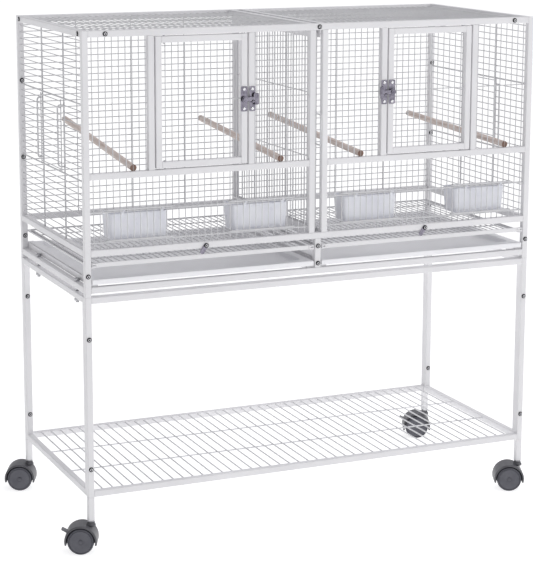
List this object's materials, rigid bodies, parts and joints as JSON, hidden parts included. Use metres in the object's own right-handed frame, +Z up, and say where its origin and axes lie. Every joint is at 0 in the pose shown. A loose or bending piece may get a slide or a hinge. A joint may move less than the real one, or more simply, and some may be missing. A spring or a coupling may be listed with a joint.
{
  "type": "bird cage on stand",
  "caption": "Wide wire flight cage for small birds, with a sliding divider, front doors, feeder doors, pull-out trays and a rolling stand with a wire shelf.",
  "frame": {"origin": "on the floor, under the middle of the whole outline, casters included", "axes": "+Z up, -Y towards the front with the doors, +X to the right seen from the front, along the width"},
  "size_m": [0.9921, 0.4639, 0.967],
  "materials": {
    "white_powder_coat": "satin powder coat",
    "tray_steel": "smooth powder coat",
    "shelf_wire": "powder-coated wire",
    "chrome_plate": "bright plate",
    "zinc_steel": "zinc plated",
    "caster_plastic": "moulded nylon",
    "caster_wheel": "moulded nylon tread",
    "cup_plastic": "translucent moulded plastic",
    "perch_wood": "sanded, unvarnished"
  },
  "bodies": {
    "cage": {"back_grille": "white_powder_coat", "base_frame": "white_powder_coat", "base_runners": "white_powder_coat", "cage_bottom_rails": "white_powder_coat", "cage_center_tubes": "white_powder_coat", "cage_corner_posts": "white_powder_coat", "cage_top_rails": "white_powder_coat", "caster_posts": "white_powder_coat", "caster_stems": "zinc_steel", "divider_guides": "white_powder_coat", "door_hinge_pins": "zinc_steel", "feed_cup_inner_left": "cup_plastic", "feed_cup_inner_right": "cup_plastic", "feed_cup_outer_left": "cup_plastic", "feed_cup_outer_right": "cup_plastic", "frame_screws": "zinc_steel", "front_left_grille": "white_powder_coat", "front_panel_tubes": "white_powder_coat", "front_right_grille": "white_powder_coat", "latch_keepers": "chrome_plate", "left_side_grille": "white_powder_coat", "nest_door_guides": "white_powder_coat", "perches": "perch_wood", "right_side_grille": "white_powder_coat", "roof_grille": "white_powder_coat", "shelf_grille": "shelf_wire", "shelf_rails": "white_powder_coat", "stand_bolts": "zinc_steel", "stand_legs": "white_powder_coat", "stand_top_rails": "white_powder_coat"},
    "door_left": {"door_left": "white_powder_coat", "latch_plate_left": "chrome_plate"},
    "latch_lever_left": {"latch_lever_left": "chrome_plate"},
    "nest_door_left": {"nest_door_left": "white_powder_coat"},
    "grate_left": {"grate_left": "white_powder_coat"},
    "tray_left": {"tray_left": "tray_steel"},
    "swing_latch_left": {"swing_latch_left": "chrome_plate"},
    "door_right": {"door_right": "white_powder_coat", "latch_plate_right": "chrome_plate"},
    "latch_lever_right": {"latch_lever_right": "chrome_plate"},
    "nest_door_right": {"nest_door_right": "white_powder_coat"},
    "grate_right": {"grate_right": "white_powder_coat"},
    "tray_right": {"tray_right": "tray_steel"},
    "swing_latch_right": {"swing_latch_right": "chrome_plate"},
    "feeder_door_outer_left": {"feeder_door_outer_left": "white_powder_coat"},
    "feeder_door_inner_left": {"feeder_door_inner_left": "white_powder_coat"},
    "feeder_door_inner_right": {"feeder_door_inner_right": "white_powder_coat"},
    "feeder_door_outer_right": {"feeder_door_outer_right": "white_powder_coat"},
    "divider": {"divider_panel": "white_powder_coat", "divider_handle": "white_powder_coat"},
    "caster_front_left": {"caster_housing_front_left": "caster_plastic"},
    "wheels_front_left": {"caster_wheels_front_left": "caster_wheel"},
    "brake_front_left": {"caster_brake_front_left": "caster_plastic"},
    "caster_front_right": {"caster_housing_front_right": "caster_plastic"},
    "wheels_front_right": {"caster_wheels_front_right": "caster_wheel"},
    "caster_back_left": {"caster_housing_back_left": "caster_plastic"},
    "wheels_back_left": {"caster_wheels_back_left": "caster_wheel"},
    "caster_back_right": {"caster_housing_back_right": "caster_plastic"},
    "wheels_back_right": {"caster_wheels_back_right": "caster_wheel"},
    "brake_back_right": {"caster_brake_back_right": "caster_plastic"}
  },
  "joints": [
    {"name": "door_left_hinge", "type": "hinge", "parent": "cage", "child": "door_left", "pos_m": [-0.2916, -0.2063, 0.833], "axis": [0, 0, -1], "range_deg": [0, 120]},
    {"name": "latch_lever_left_pivot", "type": "hinge", "parent": "door_left", "child": "latch_lever_left", "pos_m": [-0.1366, -0.2176, 0.833], "axis": [0, -1, 0], "range_deg": [0, 90]},
    {"name": "nest_door_left_lift", "type": "slide", "parent": "cage", "child": "nest_door_left", "axis": [0, 0, 1], "range_m": [0, 0.115]},
    {"name": "grate_left_pull", "type": "slide", "parent": "cage", "child": "grate_left", "axis": [0, -1, 0], "range_m": [0, 0.38]},
    {"name": "tray_left_pull", "type": "slide", "parent": "cage", "child": "tray_left", "axis": [0, -1, 0], "range_m": [0, 0.38]},
    {"name": "swing_latch_left_pivot", "type": "hinge", "parent": "cage", "child": "swing_latch_left", "pos_m": [-0.2131, -0.2133, 0.564], "axis": [0, 1, 0], "range_deg": [-35, 60]},
    {"name": "door_right_hinge", "type": "hinge", "parent": "cage", "child": "door_right", "pos_m": [0.3244, -0.2063, 0.833], "axis": [0, 0, 1], "range_deg": [0, 120]},
    {"name": "latch_lever_right_pivot", "type": "hinge", "parent": "door_right", "child": "latch_lever_right", "pos_m": [0.1694, -0.2176, 0.833], "axis": [0, 1, 0], "range_deg": [0, 90]},
    {"name": "nest_door_right_lift", "type": "slide", "parent": "cage", "child": "nest_door_right", "axis": [0, 0, 1], "range_m": [0, 0.115]},
    {"name": "grate_right_pull", "type": "slide", "parent": "cage", "child": "grate_right", "axis": [0, -1, 0], "range_m": [0, 0.38]},
    {"name": "tray_right_pull", "type": "slide", "parent": "cage", "child": "tray_right", "axis": [0, -1, 0], "range_m": [0, 0.38]},
    {"name": "swing_latch_right_pivot", "type": "hinge", "parent": "cage", "child": "swing_latch_right", "pos_m": [0.2459, -0.2133, 0.564], "axis": [0, 1, 0], "range_deg": [-35, 60]},
    {"name": "feeder_door_outer_left_lift", "type": "slide", "parent": "cage", "child": "feeder_door_outer_left", "axis": [0, 0, 1], "range_m": [0, 0.049]},
    {"name": "feeder_door_inner_left_lift", "type": "slide", "parent": "cage", "child": "feeder_door_inner_left", "axis": [0, 0, 1], "range_m": [0, 0.049]},
    {"name": "feeder_door_inner_right_lift", "type": "slide", "parent": "cage", "child": "feeder_door_inner_right", "axis": [0, 0, 1], "range_m": [0, 0.049]},
    {"name": "feeder_door_outer_right_lift", "type": "slide", "parent": "cage", "child": "feeder_door_outer_right", "axis": [0, 0, 1], "range_m": [0, 0.049]},
    {"name": "divider_pull", "type": "slide", "parent": "cage", "child": "divider", "axis": [0, -1, 0], "range_m": [0, 0.38]},
    {"name": "caster_front_left_swivel", "type": "hinge", "parent": "cage", "child": "caster_front_left", "pos_m": [-0.4426, -0.2063, 0.055], "axis": [0, 0, 1], "continuous": true},
    {"name": "wheels_front_left_roll", "type": "hinge", "parent": "caster_front_left", "child": "wheels_front_left", "pos_m": [-0.45904, -0.19898, 0.025], "axis": [0.4067, 0.9135, 0], "continuous": true},
    {"name": "brake_front_left_rock", "type": "hinge", "parent": "caster_front_left", "child": "brake_front_left", "pos_m": [-0.48223, -0.18865, 0.0385], "axis": [-0.4067, -0.9135, 0], "range_deg": [0, 15]},
    {"name": "caster_front_right_swivel", "type": "hinge", "parent": "cage", "child": "caster_front_right", "pos_m": [0.4754, -0.2063, 0.055], "axis": [0, 0, 1], "continuous": true},
    {"name": "wheels_front_right_roll", "type": "hinge", "parent": "caster_front_right", "child": "wheels_front_right", "pos_m": [0.45896, -0.19898, 0.025], "axis": [0.4067, 0.9135, 0], "continuous": true},
    {"name": "caster_back_left_swivel", "type": "hinge", "parent": "cage", "child": "caster_back_left", "pos_m": [-0.4426, 0.1917, 0.055], "axis": [0, 0, 1], "continuous": true},
    {"name": "wheels_back_left_roll", "type": "hinge", "parent": "caster_back_left", "child": "wheels_back_left", "pos_m": [-0.45904, 0.19902, 0.025], "axis": [0.4067, 0.9135, 0], "continuous": true},
    {"name": "caster_back_right_swivel", "type": "hinge", "parent": "cage", "child": "caster_back_right", "pos_m": [0.4754, 0.1917, 0.055], "axis": [0, 0, 1], "continuous": true},
    {"name": "wheels_back_right_roll", "type": "hinge", "parent": "caster_back_right", "child": "wheels_back_right", "pos_m": [0.45896, 0.19902, 0.025], "axis": [0.4067, 0.9135, 0], "continuous": true},
    {"name": "brake_back_right_rock", "type": "hinge", "parent": "caster_back_right", "child": "brake_back_right", "pos_m": [0.43577, 0.20935, 0.0385], "axis": [-0.4067, -0.9135, 0], "range_deg": [0, 15]}
  ]
}
